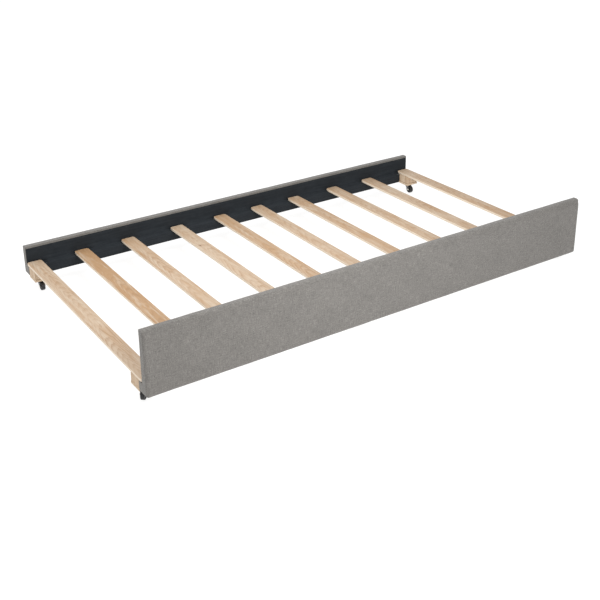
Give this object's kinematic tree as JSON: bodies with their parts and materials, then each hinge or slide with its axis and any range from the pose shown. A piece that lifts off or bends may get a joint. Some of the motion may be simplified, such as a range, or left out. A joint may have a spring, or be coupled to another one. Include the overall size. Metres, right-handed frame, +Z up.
{
  "type": "trundle bed",
  "caption": "Low trundle bed: tall padded fabric front rail, low padded rear rail, wooden slats laid across ledgers, corner blocks and swivel casters.",
  "frame": {"origin": "on the floor under the middle of the bed, at the bottom centre of its bounding box", "axes": "+X along the rails, +Y from the tall front rail to the low rear rail, +Z up"},
  "size_m": [1.9051, 1.107, 0.276],
  "materials": {
    "woven_fabric": "grey melange linen weave",
    "foam": "open-cell upholstery foam",
    "rail_board": "raw board",
    "dust_cloth": "black non-woven dust cloth",
    "slat_wood": "sanded, unvarnished",
    "block_wood": "sanded, unvarnished",
    "plywood": "raw plywood",
    "black_steel": "black coated steel",
    "zinc_steel": "zinc plated",
    "wheel_plastic": "black nylon"
  },
  "bodies": {
    "bed_frame": {"front_rail_cover": "woven_fabric", "front_rail_foam": "foam", "front_rail_board": "rail_board", "front_ledger": "rail_board", "front_rail_dust_cloth": "dust_cloth", "rear_rail_cover": "woven_fabric", "rear_rail_foam": "foam", "rear_rail_board": "rail_board", "rear_ledger": "rail_board", "rear_rail_dust_cloth": "dust_cloth", "slat_01": "slat_wood", "slat_02": "slat_wood", "slat_03": "slat_wood", "slat_04": "slat_wood", "slat_05": "slat_wood", "slat_06": "slat_wood", "slat_07": "slat_wood", "slat_08": "slat_wood", "slat_09": "slat_wood", "slat_10": "slat_wood", "front_left_corner_block": "block_wood", "front_left_plywood_pad": "plywood", "front_left_block_screw": "zinc_steel", "front_left_caster_plate": "black_steel", "front_left_caster_race": "black_steel", "front_left_caster_kingpin": "black_steel", "front_right_corner_block": "block_wood", "front_right_plywood_pad": "plywood", "front_right_block_screw": "zinc_steel", "front_right_caster_plate": "black_steel", "front_right_caster_race": "black_steel", "front_right_caster_kingpin": "black_steel", "rear_left_corner_block": "block_wood", "rear_left_plywood_pad": "plywood", "rear_left_block_screw": "zinc_steel", "rear_left_caster_plate": "black_steel", "rear_left_caster_race": "black_steel", "rear_left_caster_kingpin": "black_steel", "rear_right_corner_block": "block_wood", "rear_right_plywood_pad": "plywood", "rear_right_block_screw": "zinc_steel", "rear_right_caster_plate": "black_steel", "rear_right_caster_race": "black_steel", "rear_right_caster_kingpin": "black_steel"},
    "front_left_fork": {"front_left_caster_fork": "black_steel", "front_left_caster_axle": "zinc_steel"},
    "front_left_wheel": {"front_left_caster_wheel": "wheel_plastic"},
    "front_right_fork": {"front_right_caster_fork": "black_steel", "front_right_caster_axle": "zinc_steel"},
    "front_right_wheel": {"front_right_caster_wheel": "wheel_plastic"},
    "rear_left_fork": {"rear_left_caster_fork": "black_steel", "rear_left_caster_axle": "zinc_steel"},
    "rear_left_wheel": {"rear_left_caster_wheel": "wheel_plastic"},
    "rear_right_fork": {"rear_right_caster_fork": "black_steel", "rear_right_caster_axle": "zinc_steel"},
    "rear_right_wheel": {"rear_right_caster_wheel": "wheel_plastic"}
  },
  "joints": [
    {"name": "front_left_caster_swivel", "type": "hinge", "parent": "bed_frame", "child": "front_left_fork", "pos_m": [-0.9215, -0.4661, 0.04], "axis": [0, 0, 1], "continuous": true},
    {"name": "front_left_wheel_roll", "type": "hinge", "parent": "front_left_fork", "child": "front_left_wheel", "pos_m": [-0.9305, -0.47682, 0.0175], "axis": [0.766, -0.6428, 0], "continuous": true},
    {"name": "front_right_caster_swivel", "type": "hinge", "parent": "bed_frame", "child": "front_right_fork", "pos_m": [0.9215, -0.4661, 0.04], "axis": [0, 0, 1], "continuous": true},
    {"name": "front_right_wheel_roll", "type": "hinge", "parent": "front_right_fork", "child": "front_right_wheel", "pos_m": [0.93466, -0.47089, 0.0175], "axis": [0.342, 0.9397, 0], "continuous": true},
    {"name": "rear_left_caster_swivel", "type": "hinge", "parent": "bed_frame", "child": "rear_left_fork", "pos_m": [-0.9215, 0.4661, 0.04], "axis": [0, 0, 1], "continuous": true},
    {"name": "rear_left_wheel_roll", "type": "hinge", "parent": "rear_left_fork", "child": "rear_left_wheel", "pos_m": [-0.9215, 0.4521, 0.0175], "axis": [1, 0, 0], "continuous": true},
    {"name": "rear_right_caster_swivel", "type": "hinge", "parent": "bed_frame", "child": "rear_right_fork", "pos_m": [0.9215, 0.4661, 0.04], "axis": [0, 0, 1], "continuous": true},
    {"name": "rear_right_wheel_roll", "type": "hinge", "parent": "rear_right_fork", "child": "rear_right_wheel", "pos_m": [0.9215, 0.4521, 0.0175], "axis": [1, 0, 0], "continuous": true}
  ]
}
